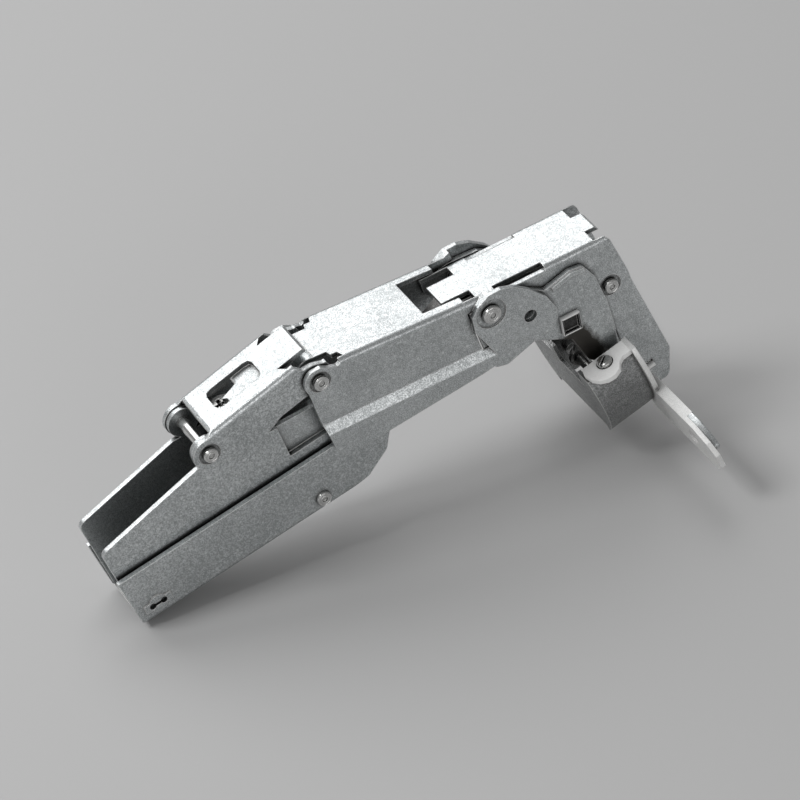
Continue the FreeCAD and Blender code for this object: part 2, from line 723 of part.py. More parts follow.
for side in (1, -1):
    # the fold is pressed a little lower along the long relief
    pocket(front_link, outline(front_link, [
        ("dims.cross_x + 3.9", "dims.cross_z + 1.4"),
        ("dims.nose_x - 13", "dims.cross_z - 0.5"),
        ("dims.nose_x - 13", "dims.cross_z + 9"),
        ("dims.cross_x + 3.9", "dims.cross_z + 9"),
    ], offset=f"{side} * 7.0"), "6", False, side > 0)
pin_hole(front_link, "cross", "dims.pin_radius")
pin_hole(front_link, "nose", "dims.pin_radius")
dish(front_link, "nose", FRONT, "2.8")
RIVET = ("dims.cross_x + 14.5", "dims.cross_z - 6.5")
pocket(front_link, circles(front_link, [RIVET], "dims.pin_radius"), str(FAR))
pocket(front_link, outline(front_link, [
    place("nose", -1.2, -28.5),
    place("nose", 3.0, -28.5),
    place("nose", 3.0, -27.6),
    place("nose", -1.2, -27.6),
]), str(FAR))

# The inner lever runs inside the middle link from the heel pivot to the front link.
inner_lever = new_body("inner_lever")
wall_pair(inner_lever, [
    place("heel", -1.2, 2.9),
    place("cross", -3, 1.6),
    place("cross", 12, -0.8),
    place("cross", 17.6, -4.2),
    place("cross", 16.5, -9.4),
    place("cross", 11, -9.6),
    place("cross", 0, -5.2),
    place("heel", 2.6, -1.7),
], "dims.lever_half")
lobe(inner_lever, "heel", "3.1", "dims.lever_half")
hollow(inner_lever, [
    ("dims.heel_x - 9", "dims.heel_z - 9"),
    ("dims.heel_x - 9", "dims.heel_z + 20"),
    ("dims.heel_x + 7", "dims.heel_z + 20"),
    ("dims.heel_x + 7", "dims.heel_z + 4.4"),
    ("dims.cross_x - 3", "dims.cross_z + 1.6 - dims.steel"),
    ("dims.cross_x + 12", "dims.cross_z - 0.8 - dims.steel"),
    ("dims.cross_x + 30", "dims.cross_z - 12"),
    ("dims.cross_x + 30", "-9"),
    ("dims.cross_x", "-9"),
], "(dims.lever_half - dims.steel)")
pin_hole(inner_lever, "heel")
pin_hole(inner_lever, "cross", "dims.pin_radius")
pocket(inner_lever, circles(inner_lever, [RIVET], "dims.pin_radius"), str(FAR))

cross_axle = rivet_axle("cross_axle", "cross", EAR, "dims.head_radius + 0.5")
nose_axle = rivet_axle("nose_axle", "nose", FRONT)

lever_rivet = new_body("lever_rivet")
pad(lever_rivet, circles(lever_rivet, [RIVET], "dims.pin_radius"), f"2 * {FRONT}")

heel_bush = new_body("heel_bush")
pad(heel_bush, circles(heel_bush, [place("heel")], "2.7"), "2 * (dims.lever_half - dims.steel - dims.play)")
pocket(heel_bush, circles(heel_bush, [place("heel")], "dims.pin_radius"), str(FAR))

# The cup link hangs inside the front link and reaches down to the toe of the cup.
cup_link = new_body("cup_link")
CUP_LINK = f"({FRONT} - dims.steel - dims.play)"
wall_pair(cup_link, [
    place("nose", -2.8, 1.5),
    place("nose", 2.8, 1.5),
    place("toe", 2.4, -0.6),
    place("toe", -2.2, 0),
    place("toe", 0.2, 4.2),
    place("toe", 2.4, 11.2),
], CUP_LINK)
lobe(cup_link, "nose", "3.2", CUP_LINK)
lobe(cup_link, "toe", "2.5", CUP_LINK)
hollow(cup_link, [
    ("dims.nose_x - 12", "dims.nose_z + 12"),
    ("dims.nose_x + 12", "dims.nose_z + 12"),
    ("dims.nose_x + 12", "dims.nose_z - 4.5"),
    ("dims.nose_x + 0.6", "dims.nose_z - 4.5"),
    ("dims.toe_x + 1.5", "dims.toe_z + 4"),
    ("dims.toe_x + 12", "dims.toe_z + 4"),
    ("dims.toe_x + 12", "dims.toe_z - 12"),
    ("dims.toe_x - 20", "dims.toe_z - 12"),
], f"({CUP_LINK} - dims.steel)")
pin_hole(cup_link, "nose")
pin_hole(cup_link, "toe", "dims.pin_radius")

toe_pin = new_body("toe_pin")
pad(toe_pin, circles(toe_pin, [place("toe")], "dims.pin_radius"), f"2 * ({SIDE} - dims.steel - 0.1)")


def seat_in_cup(body):
    """Turns a body modelled square to the cup's mouth into its place in the open hinge."""
    body.setExpression("Placement.Base.x", "dims.cup_x")
    body.setExpression("Placement.Base.z", "dims.cup_z")
    body.Placement.Rotation = FreeCAD.Rotation(FreeCAD.Vector(0, 1, 0), size_of("dims.cup_tilt"))


def in_cup(pivot):
    """A pivot's place in the cup's own square frame."""
    across = f"(dims.{pivot}_x - dims.cup_x)"
    up = f"(dims.{pivot}_z - dims.cup_z)"
    return (f"{across} * cos(dims.cup_tilt) - {up} * sin(dims.cup_tilt)",
            f"{across} * sin(dims.cup_tilt) + {up} * cos(dims.cup_tilt)")


# The cup: cast body, pressed flange and screws. Here X leaves the mouth and Z runs up its face.
cup = new_body("cup_housing")
pad(cup, circles(cup, [("0", "0")], "dims.cup_radius", "YZ_Plane"), "dims.cup_depth", False, True)
CHEEK_TOP = f"({in_cup('door')[1]} + dims.pin_radius + 0.54)"
hollow(cup, [
    ("-dims.cup_depth + dims.cup_bottom", "6.5 - dims.cup_radius"),
    ("-40", "6.5 - dims.cup_radius"),
    ("-40", "-40"),
    ("9", "-40"),
    ("9", "40"),
    ("-dims.cup_depth + dims.cup_bottom", "40"),
], ROOM)
pocket(cup, outline(cup, [
    ("-30", CHEEK_TOP),
    ("9", CHEEK_TOP),
    ("9", "40"),
    ("-30", "40"),
]), str(FAR))
for low, high, level in (("-0.9", "0.1", "5.0"), ("0.3", "0.9", "3.2")):
    # the back plate's upper edge is stepped down between the cheeks
    pocket(cup, outline(cup, [
        (f"{low} * {ROOM}", f"{CHEEK_TOP} - {level}"),
        (f"{high} * {ROOM}", f"{CHEEK_TOP} - {level}"),
        (f"{high} * {ROOM}", "40"),
        (f"{low} * {ROOM}", "40"),
    ], "YZ_Plane"), "80")
STUB_END = f"({ROOM} + 2.9)"
hollow_pins = circles(cup, [in_cup("door"), in_cup("toe")], "dims.pin_radius")
pocket(cup, hollow_pins, f"2 * {STUB_END}")
seat_in_cup(cup)

for side, name in ((1, "near"), (-1, "far")):
    for pivot, start in (("door", f"({SIDE} - dims.steel)"), ("toe", f"({SIDE} + dims.play)")):
        pin = new_body(f"{pivot}_pin_{name}")
        pad(pin, circles(pin, [place(pivot)], "dims.pin_radius", offset=f"{side} * {start}"),
            f"{STUB_END} - {start}", False, side < 0)

flange = new_body("cup_flange")
LIP = "dims.wing_lip"
WING_LOW = "(dims.wing_top - dims.wing_height)"
pad(flange, circles(flange, [("0", "0")], "dims.cup_radius + 1.5", "YZ_Plane"), "dims.flange_steel", False)
for side in (1, -1):
    pad(flange, outline(flange, [
        (f"{side} * ({ROOM} + 0.4)", WING_LOW),
        (f"{side} * (dims.wing_reach - 3)", WING_LOW),
        (f"{side} * dims.wing_reach", f"{WING_LOW} + 3"),
        (f"{side} * dims.wing_reach", "dims.wing_top - 4"),
        (f"{side} * (dims.wing_reach - 3)", "dims.wing_top - 1.6"),
        (f"{side} * (dims.wing_reach - 8)", "dims.wing_top"),
        (f"{side} * ({ROOM} + 0.4)", "dims.wing_top"),
    ], "YZ_Plane"), "dims.flange_steel", False)
    pad(flange, outline(flange, [
        (f"{side} * ({ROOM} + 1.4)", "dims.wing_top - dims.flange_steel"),
        (f"{side} * (dims.wing_reach - 12.5)", "dims.wing_top - dims.flange_steel"),
        (f"{side} * (dims.wing_reach - 12.5)", "dims.wing_top"),
        (f"{side} * ({ROOM} + 1.4)", "dims.wing_top"),
    ], "YZ_Plane"), LIP, False)
    pocket(flange, circles(flange, [(f"{side} * dims.door_screw_y", "dims.wing_top - 6")], "dims.door_screw_radius",
                           "YZ_Plane"), "20")
pocket(flange, outline(flange, [
    (f"-{ROOM}", "-40"),
    (ROOM, "-40"),
    (ROOM, "40"),
    (f"-{ROOM}", "40"),
], "YZ_Plane"), "20")
pocket(flange, outline(flange, [
    ("-40", f"{CHEEK_TOP} + dims.flange_steel"),
    ("40", f"{CHEEK_TOP} + dims.flange_steel"),
    ("40", "60"),
    ("-40", "60"),
], "YZ_Plane"), "20")
seat_in_cup(flange)

EAR_SCREW = "-6.5"
for side, name in ((-1, "near"), (1, "far")):
    ear = new_body(f"cup_ear_{name}")
    pad(ear, outline(ear, [
        ("0", f"{side} * ({ROOM} + 0.3)"),
        ("-11.6", f"{side} * ({ROOM} + 0.3)"),
        ("-12.2", f"{side} * ({ROOM} + 2.4)"),
        ("-11.8", f"{side} * ({ROOM} + 4.8)"),
        ("-10.6", f"{side} * ({ROOM} + 6.8)"),
        ("-8.8", f"{side} * ({ROOM} + 8.0)"),
        ("-6.8", f"{side} * ({ROOM} + 8.2)"),
        ("-5.0", f"{side} * ({ROOM} + 7.4)"),
        ("-3.8", f"{side} * ({ROOM} + 5.6)"),
        ("-2.6", f"{side} * ({ROOM} + 4.8)"),
        ("0", f"{side} * ({ROOM} + 4.8)"),
    ], "XY_Plane", CHEEK_TOP), "dims.flange_steel", False)
    pocket(ear, circles(ear, [(EAR_SCREW, f"{side} * ({ROOM} + 2.9)")], "2.1", "XY_Plane",
                        CHEEK_TOP), "9", True)
    seat_in_cup(ear)
    screw = new_body(f"cup_screw_{name}")
    pad(screw, circles(screw, [(EAR_SCREW, f"{side} * ({ROOM} + 2.9)")], "1.9", "XY_Plane",
                       CHEEK_TOP), "dims.flange_steel + 0.5", False)
    seat_in_cup(screw)

doc.recompute()
faults = [thing.Label for thing in doc.Objects if "Invalid" in thing.State or "Error" in thing.State]
if faults:
    raise RuntimeError("failed objects: " + ", ".join(faults))
os.makedirs("parts", exist_ok=True)
for body in parts:
    shape = body.Shape
    if shape.isNull() or not shape.isValid() or not shape.Solids:
        raise RuntimeError(f"{body.Label} has no valid solid")
for body in parts:
    body.Shape.exportStep(f"parts/{body.Label}.step")
    print(body.Label, len(body.Shape.Solids), round(body.Shape.Volume, 1))
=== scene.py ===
# %% [markdown]
# A cranked cabinet hinge. The real one is stamped from steel strip, folded, riveted and nickel plated,
# with a small zinc casting for its cup. The shapes come from the CAD frame, so most of this lesson is
# about plated metal: what makes it look pressed, folded and handled. The frame is loaded first, because
# every other cell measures from it.

# %% Load the frame
import json
import math

import bpy
from mathutils import Matrix, Vector


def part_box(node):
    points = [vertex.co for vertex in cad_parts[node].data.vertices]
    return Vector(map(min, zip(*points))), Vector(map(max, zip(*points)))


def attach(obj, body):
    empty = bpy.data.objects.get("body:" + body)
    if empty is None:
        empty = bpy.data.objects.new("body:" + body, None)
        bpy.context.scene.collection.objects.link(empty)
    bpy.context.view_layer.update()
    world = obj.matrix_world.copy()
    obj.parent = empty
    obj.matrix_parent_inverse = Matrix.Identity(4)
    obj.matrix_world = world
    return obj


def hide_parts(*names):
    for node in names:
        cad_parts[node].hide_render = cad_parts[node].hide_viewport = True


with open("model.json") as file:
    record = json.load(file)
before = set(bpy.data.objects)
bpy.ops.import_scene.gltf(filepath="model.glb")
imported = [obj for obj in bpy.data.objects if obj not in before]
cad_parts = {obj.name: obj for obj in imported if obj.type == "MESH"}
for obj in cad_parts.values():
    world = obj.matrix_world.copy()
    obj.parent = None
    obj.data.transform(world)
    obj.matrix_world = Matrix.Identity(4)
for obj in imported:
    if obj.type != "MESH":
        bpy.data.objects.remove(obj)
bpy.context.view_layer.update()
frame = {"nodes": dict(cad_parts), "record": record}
MM = 0.001

# %% [markdown]
# The camera comes before any looks, because the photograph fixes it. A long lens far away keeps the
# hinge's edges nearly parallel. The eye and the way up were fitted to the rivet heads and the corners
# of the sheet, so here they are written down as a place, a direction and a roll.

# %% Camera
EYE = Vector((-88.2, -707.9, 678.2)) * MM
RIGHT = Vector((0.8289, -0.4695, -0.3042))
UP = Vector((0.5370, 0.5151, 0.6681))
BACK = RIGHT.cross(UP).normalized()
FOCAL_PIXELS = 4255
PHOTO_WIDTH = 800
SENSOR = 36.0

camera_data = bpy.data.cameras.new("photo_camera")
camera_data.sensor_width = SENSOR
camera_data.lens = FOCAL_PIXELS / PHOTO_WIDTH * SENSOR
camera_data.clip_end = 20
camera = bpy.data.objects.new("photo_camera", camera_data)
bpy.context.scene.collection.objects.link(camera)
turn = Matrix((RIGHT, UP, BACK)).transposed()
camera.matrix_world = Matrix.Translation(EYE) @ turn.to_4x4()
bpy.context.scene.camera = camera
print("lens", round(camera_data.lens, 1), "mm")

# %% [markdown]
# The opened hinge stands as an arch: on the tail of its arm at one end and on the cup at the other. The
# frame keeps the arm level, so the floor is what tilts. It passes just under the tail and the cup.

# %% Floor
FALL = math.radians(15.6)
FLOOR_UNDER_TAIL = Vector((-12.4, 0, -0.6)) * MM
FLOOR_WIDTH = 12
FLOOR_GREY = (0.43, 0.43, 0.43, 1)
TOUCHING = 1.5 * MM

bpy.ops.object.select_all(action="DESELECT")
bpy.ops.mesh.primitive_plane_add(size=FLOOR_WIDTH, location=(0, 0, 0))
floor = bpy.context.object
floor.name = "floor"
floor.data.transform(Matrix.Translation(FLOOR_UNDER_TAIL) @ Matrix.Rotation(FALL, 4, "Y"))
floor_up = Vector((math.sin(FALL), 0, math.cos(FALL)))

floor_material = bpy.data.materials.new("pale_floor")
floor_material.use_nodes = True
floor_shader = floor_material.node_tree.nodes["Principled BSDF"]
floor_shader.inputs["Base Color"].default_value = FLOOR_GREY
floor_shader.inputs["Roughness"].default_value = 0.9
floor.data.materials.append(floor_material)
for node_name, node in frame["nodes"].items():
    low = min((vertex.co - FLOOR_UNDER_TAIL).dot(floor_up) for vertex in node.data.vertices)
    if low < TOUCHING:
        print(node_name, "stands", round(low / MM, 2), "mm over the floor")

# %% [markdown]
# Studio light. Plated steel shows what is around it, so the light is mostly large soft panels: one high
# behind the hinge that whitens whatever faces up, a smaller one overhead, and a long low strip in front
# that only the folds mirror. The world fills the rest at a plain level. Each panel looks at the middle of
# the hinge, so its place alone decides which faces it shows in.


# %% Lights
LIT_POINT = Vector((55, 0, 10)) * MM
WORLD_GREY = (0.9, 0.9, 0.9, 1)
WORLD_STRENGTH = 0.32


def softbox(name, place, size, power):
    """A square lamp that looks at the middle of the hinge."""
    lamp = bpy.data.lights.new(name, "AREA")
    lamp.shape = "RECTANGLE"
    lamp.size = size[0]
    lamp.size_y = size[1]
    lamp.energy = power
    lamp_object = bpy.data.objects.new(name, lamp)
    bpy.context.scene.collection.objects.link(lamp_object)
    look = Vector(place) - LIT_POINT
    turned = look.to_track_quat("Z", "Y").to_matrix().to_4x4()
    lamp_object.matrix_world = Matrix.Translation(Vector(place)) @ turned
    print(name, "stands", round(look.length, 2), "m away")


softbox("back_panel", (0.20, 0.75, 0.85), (1.3, 0.9), 8.2)
softbox("top_panel", (-0.35, 0.10, 0.95), (0.35, 0.35), 5)
softbox("fold_strip", (-0.05, -1.25, 0.46), (1.5, 0.42), 3.4)

world = bpy.data.worlds.new("studio")
world.use_nodes = True
world.node_tree.nodes["Background"].inputs["Color"].default_value = WORLD_GREY
world.node_tree.nodes["Background"].inputs["Strength"].default_value = WORLD_STRENGTH
bpy.context.scene.world = world
bpy.context.scene.view_settings.view_transform = "Standard"

# %% [markdown]
# The plate is not a mirror. Under it the rolled strip has a fine pebbled grain with small blisters, and
# handling leaves broad cloudy patches. Two more marks are painted light: a painted highlight on cut edges
# and folds, and a painted shade inside folds and between sheets. Every part of the hinge has all four, so
# they are built once as node groups that put out plain masks, and each material mixes them in its own
# measure. First come four small helpers: an empty group, noise on Object coordinates, a stretch of a value
# to 0 to 1, and one Math node.


# %% Node helpers
def effect_group(name, inputs, outputs):
    """An empty shader node group with float inputs (name, default) and float outputs."""
    group = bpy.data.node_groups.new(name, "ShaderNodeTree")
    for socket_name, default in inputs:
        socket = group.interface.new_socket(socket_name, in_out="INPUT", socket_type="NodeSocketFloat")
        socket.default_value = default
    for socket_name in outputs:
        group.interface.new_socket(socket_name, in_out="OUTPUT", socket_type="NodeSocketFloat")
    return group, group.nodes.new("NodeGroupInput"), group.nodes.new("NodeGroupOutput")


def noise_in(group, scale, detail, roughness=0.55):
    """Noise on Object coordinates, with its Fac ready to link."""
    place = group.nodes.new("ShaderNodeTexCoord")
    noise = group.nodes.new("ShaderNodeTexNoise")
    noise.inputs["Scale"].default_value = scale
    noise.inputs["Detail"].default_value = detail
    noise.inputs["Roughness"].default_value = roughness
    group.links.new(place.outputs["Object"], noise.inputs["Vector"])
    return noise


def range_in(group, source, low, high):
    """Stretches the part of a value between low and high to 0 to 1."""
    stretch = group.nodes.new("ShaderNodeMapRange")
    stretch.inputs["From Min"].default_value = low
    stretch.inputs["From Max"].default_value = high
    group.links.new(source, stretch.inputs["Value"])
    return stretch.outputs["Result"]


def maths_in(group, operation, first, second, clamp=False):
    """One Math node. Each side may be a socket to link or a plain number."""
    node = group.nodes.new("ShaderNodeMath")
    node.operation = operation
    node.use_clamp = clamp
    for index, side in enumerate((first, second)):
        if isinstance(side, (int, float)):
            node.inputs[index].default_value = side
        else:
            group.links.new(side, node.inputs[index])
    return node.outputs["Value"]


print("node helpers ready")

# %% [markdown]
# The grain of cold-rolled strip is finer than half a millimetre. Two noises of different fineness make
# its speckle. Tiny blisters under the plate show as pale rings: cells of a Voronoi texture give each ring
# from its distance to the cell's middle, and a third noise lets only a few patches of them through.

# %% Strip grain
FINE_GRAIN = 3600
COARSE_GRAIN = 900
COARSE_SHARE = 0.3
BLISTER_CELLS = 760
BLISTER_PATCHES = 520
BLISTER_LIFT = 0.35


def pebble_group():
    """Fine grain of the strip: one mask for colour, one height for bump."""
    group, entry, leave = effect_group("strip_grain", [("Amount", 1.0)], ["Speckle", "Height"])
    fine = noise_in(group, FINE_GRAIN, 3, 0.6)
    coarse = noise_in(group, COARSE_GRAIN, 2)
    faint = maths_in(group, "MULTIPLY", coarse.outputs["Fac"], COARSE_SHARE)
    both = maths_in(group, "ADD", fine.outputs["Fac"], faint)
    speckle = range_in(group, both, 0.50, 0.80)
    place = group.nodes.new("ShaderNodeTexCoord")
    cells = group.nodes.new("ShaderNodeTexVoronoi")
    cells.inputs["Scale"].default_value = BLISTER_CELLS
    group.links.new(place.outputs["Object"], cells.inputs["Vector"])
    crater = range_in(group, cells.outputs["Distance"], 0.06, 0.16)
    ring = maths_in(group, "MULTIPLY", crater, range_in(group, cells.outputs["Distance"], 0.30, 0.20))
    sparse = range_in(group, noise_in(group, BLISTER_PATCHES, 2).outputs["Fac"], 0.53, 0.60)
    blister = maths_in(group, "MULTIPLY", ring, sparse)
    shown = maths_in(group, "SUBTRACT", speckle, blister, clamp=True)
    group.links.new(maths_in(group, "MULTIPLY", shown, entry.outputs["Amount"]), leave.inputs["Speckle"])
    height = maths_in(group, "ADD", both, maths_in(group, "MULTIPLY", blister, BLISTER_LIFT))
    group.links.new(height, leave.inputs["Height"])
    return group


grain = pebble_group()
print("effect:", grain.name)

# %% [markdown]
# Fingers and the tray that hinges are shipped in leave dull clouds a centimetre or two wide, and a few
# fine scratches. A scratch is noise that a Mapping node stretches: slow along the hinge, quick across it.

# %% Handling marks
CLOUD_SIZE = 60
SCRATCH_STRETCH = (30, 500, 900)
SCRATCH_TURN = (0.2, 0.35, 0.1)


def cloud_group():
    """Broad dull patches left by handling, with a few fine scratches."""
    group, entry, leave = effect_group("handling", [("Amount", 1.0)], ["Cloud", "Scratch"])
    broad = noise_in(group, CLOUD_SIZE, 3, 0.6)
    cloud = range_in(group, broad.outputs["Fac"], 0.35, 0.7)
    group.links.new(maths_in(group, "MULTIPLY", cloud, entry.outputs["Amount"]), leave.inputs["Cloud"])
    place = group.nodes.new("ShaderNodeTexCoord")
    stretch = group.nodes.new("ShaderNodeMapping")
    stretch.inputs["Scale"].default_value = SCRATCH_STRETCH
    stretch.inputs["Rotation"].default_value = SCRATCH_TURN
    group.links.new(place.outputs["Object"], stretch.inputs["Vector"])
    lines = group.nodes.new("ShaderNodeTexNoise")
    lines.inputs["Scale"].default_value = 1.0
    lines.inputs["Detail"].default_value = 2
    group.links.new(stretch.outputs["Vector"], lines.inputs["Vector"])
    group.links.new(range_in(group, lines.outputs["Fac"], 0.66, 0.74), leave.inputs["Scratch"])
    return group


handling = cloud_group()
print("effect:", handling.name)

# %% [markdown]
# A cut or folded edge of sheet is never sharp, and it is where a painted highlight is laid. The Bevel node
# gives the normal that a small rounding would have. Where it differs from the true normal there is an
# edge, so one node serves twice: its normal softens the edge, and the difference is the mask where the
# painted highlight whitens it.

# %% Rounded edges with a painted highlight
EDGE_ROUNDING = 0.33
EDGE_SAMPLES = 5


def edge_highlight_group():
    """Where the sheet is folded or cut: a mask for the painted edge highlight and a normal that rounds the
    edge.
    """
    group, entry, leave = effect_group("edge_round_and_highlight", [("Amount", 1.0)], ["Edge"])
    group.interface.new_socket("Normal", in_out="OUTPUT", socket_type="NodeSocketVector")
    rounded = group.nodes.new("ShaderNodeBevel")
    rounded.samples = EDGE_SAMPLES
    rounded.inputs["Radius"].default_value = EDGE_ROUNDING * MM
    surface = group.nodes.new("ShaderNodeNewGeometry")
    compare = group.nodes.new("ShaderNodeVectorMath")
    compare.operation = "DOT_PRODUCT"
    group.links.new(rounded.outputs["Normal"], compare.inputs[0])
    group.links.new(surface.outputs["Normal"], compare.inputs[1])
    edge = range_in(group, compare.outputs["Value"], 0.98, 0.80)
    group.links.new(maths_in(group, "MULTIPLY", edge, entry.outputs["Amount"]), leave.inputs["Edge"])
    group.links.new(rounded.outputs["Normal"], leave.inputs["Normal"])
    return group


edge_round_and_highlight = edge_highlight_group()
print("effect:", edge_round_and_highlight.name)

# %% [markdown]
# Shade in closed folds and in the seams between sheets is painted into the colour. Ambient Occlusion
# measures how closed in a point is. One reading looks a centimetre far at the piece itself, for its own
# folds. The other looks a millimetre far at everything, for the seams where two sheets lie on each other.

# %% Painted shade in folds and seams
RECESS_REACH = 13
CONTACT_REACH = 1.4
RECESS_SAMPLES = 4


def painted_fold_shade_group():
    """Painted shade: how dark the colour is painted deep in a fold, or where two sheets lie on each other.
    """
    group, entry, leave = effect_group("painted_fold_shade", [("Amount", 1.0)], ["Recess"])
    shut = group.nodes.new("ShaderNodeAmbientOcclusion")
    shut.samples = RECESS_SAMPLES
    shut.only_local = True
    shut.inputs["Distance"].default_value = RECESS_REACH * MM
    closed = range_in(group, shut.outputs["AO"], 0.85, 0.25)
    touch = group.nodes.new("ShaderNodeAmbientOcclusion")
    touch.samples = RECESS_SAMPLES
    touch.inputs["Distance"].default_value = CONTACT_REACH * MM
    seam = range_in(group, touch.outputs["AO"], 0.90, 0.45)
    darker = maths_in(group, "MAXIMUM", closed, seam)
    group.links.new(maths_in(group, "MULTIPLY", darker, entry.outputs["Amount"]), leave.inputs["Recess"])
    return group


painted_fold_shade = painted_fold_shade_group()
print("effect:", painted_fold_shade.name)

# %% [markdown]
# Each metal is one material. Its own two colours stand for the plate where it is clean and where it is
# dull. Two more are shared: a near-black painted shade where the plate is closed in, and a near-white
# painted highlight on the edges. Roughness runs by the same mask as the colour, so colour and gloss change
# together, as they do on real plating. Metallic is high on the faces and falls on the edges, which scatter
# light more than they mirror.


# %% Metal recipe
# Painted shade colour for folds and seams, and painted highlight colour for edges.
FOLD_SHADE_COLOUR = (0.045, 0.042, 0.038)
EDGE_HIGHLIGHT_COLOUR = (0.90, 0.90, 0.89)
EDGE_SCATTER = 0.7
RELIEF_STRENGTH = 0.7


def mixed(tree, factor, low, high):
    """A colour between two others, each a socket or three numbers."""
    mix = tree.nodes.new("ShaderNodeMix")
    mix.data_type = "RGBA"
    tree.links.new(factor, mix.inputs["Factor"])
    for socket, colour in (("A", low), ("B", high)):
        if isinstance(colour, tuple):
            mix.inputs[socket].default_value = (*colour, 1)
        else:
            tree.links.new(colour, mix.inputs[socket])
    return mix.outputs["Result"]


def placed(tree, group, amount):
    """One of the shared effects, in this metal's measure."""
    node = tree.nodes.new("ShaderNodeGroup")
    node.node_tree = group
    node.inputs["Amount"].default_value = amount
    return node


def plated_metal(name, clean, dull, gloss, satin, bump, speckle=1.0, cloud=0.3, fold_shade=1.0, metal=1.0):
    """A plated metal: clean and dull colours, gloss and satin roughness, bump height in mm.

    The speckle and cloud are the measures of the grain and handling effects; the third measure sets how
    much painted shade darkens folds and seams.
    A matt plate scatters light almost as paint does, so its metal share is under 1.
    """
    material = bpy.data.materials.new(name)
    material.use_nodes = True
    tree = material.node_tree
    shader = tree.nodes["Principled BSDF"]
    strip = placed(tree, grain, speckle)
    wear = placed(tree, handling, cloud)
    rim = placed(tree, edge_round_and_highlight, 1.0)
    deep = placed(tree, painted_fold_shade, fold_shade)
    total = maths_in(tree, "ADD", strip.outputs["Speckle"], wear.outputs["Cloud"], clamp=True)
    plate = mixed(tree, total, clean, dull)
    # Painted shade darkens closed folds and seams, then a painted highlight whitens the edges.
    shaded_plate = mixed(tree, deep.outputs["Recess"], plate, FOLD_SHADE_COLOUR)
    shown = mixed(tree, rim.outputs["Edge"], shaded_plate, EDGE_HIGHLIGHT_COLOUR)
    tree.links.new(shown, shader.inputs["Base Color"])
    scatter = maths_in(tree, "MULTIPLY", rim.outputs["Edge"], EDGE_SCATTER)
    tree.links.new(maths_in(tree, "SUBTRACT", metal, scatter, clamp=True), shader.inputs["Metallic"])
    rough = tree.nodes.new("ShaderNodeMapRange")
    rough.inputs["To Min"].default_value = gloss
    rough.inputs["To Max"].default_value = satin
    tree.links.new(total, rough.inputs["Value"])
    tree.links.new(rough.outputs["Result"], shader.inputs["Roughness"])
    lift = tree.nodes.new("ShaderNodeBump")
    lift.inputs["Distance"].default_value = bump * MM
    lift.inputs["Strength"].default_value = RELIEF_STRENGTH
    relief = maths_in(tree, "SUBTRACT", strip.outputs["Height"], wear.outputs["Scratch"])
    tree.links.new(relief, lift.inputs["Height"])
    tree.links.new(rim.outputs["Normal"], lift.inputs["Normal"])
    tree.links.new(lift.outputs["Normal"], shader.inputs["Normal"])
    print("metal:", name)
    return material


# %% [markdown]
# The strip of the channels is the common metal: nickel over steel, a little blue, fairly glossy. Sheet
# inside the hinge is the same plate painted darker, as painted shade for where it lies in the hinge's
# shadow. Rivets and screws are barrel plated, smoother than strip. The cup is a zinc casting with a
# rougher skin. The ears and the square lip are the same plate painted matt and nearly white, as painted
# light, and the wings' lip is painted half as light.

# %% Metals of the hinge
nickel_sheet = plated_metal("nickel_sheet", (0.79, 0.815, 0.82), (0.38, 0.40, 0.405), 0.28, 0.44, 0.05)
shaded_inner_sheet = plated_metal("shaded_inner_sheet", (0.46, 0.455, 0.45), (0.22, 0.215, 0.21), 0.34, 0.55, 0.05)
rivet_metal = plated_metal("rivet_metal", (0.70, 0.70, 0.69), (0.50, 0.50, 0.49), 0.18, 0.30, 0.012,
                           speckle=0.4, cloud=0.2, fold_shade=0.45)
screw_metal = plated_metal("screw_metal", (0.56, 0.56, 0.55), (0.36, 0.36, 0.35), 0.22, 0.40, 0.015,
                           speckle=0.4)
cast_metal = plated_metal("cast_metal", (0.46, 0.465, 0.465), (0.22, 0.225, 0.225), 0.42, 0.62, 0.10,
                          speckle=0.9)
lit_copy_sheet = plated_metal("lit_copy_sheet", (0.97, 0.97, 0.96), (0.84, 0.84, 0.83), 0.38, 0.55, 0.03,
                            speckle=0.4, cloud=0.2, fold_shade=0.5, metal=0.05)
half_lit_sheet = plated_metal("half_lit_sheet", (0.90, 0.90, 0.89), (0.62, 0.62, 0.61), 0.32, 0.5, 0.03,
                         speckle=0.5, metal=0.3)
painted_hole_shade = plated_metal("painted_hole_shade", (0.12, 0.12, 0.12), (0.05, 0.05, 0.05), 0.3, 0.5, 0.02)

# %% [markdown]
# The foot of the cup lever dips into the cup, where it lies in shade, and that shade is painted on it near
# black. Its metal is the common one with one more colour over it. Two distances, from a level line and
# from a slanting one, are each a dot product of the place with a direction. The smaller of the two, made
# ragged with noise, is the mask.

# %% Painted shade on the lever's foot
FOOT_CORNER = (112.7, 0, 6.4)
FOOT_ALONG = (5.5, -19.6)
FOOT_FADE = 1.6
FOOT_SHADE_COLOUR = (0.07, 0.066, 0.06)
FOOT_SHADE_NOISE = 900


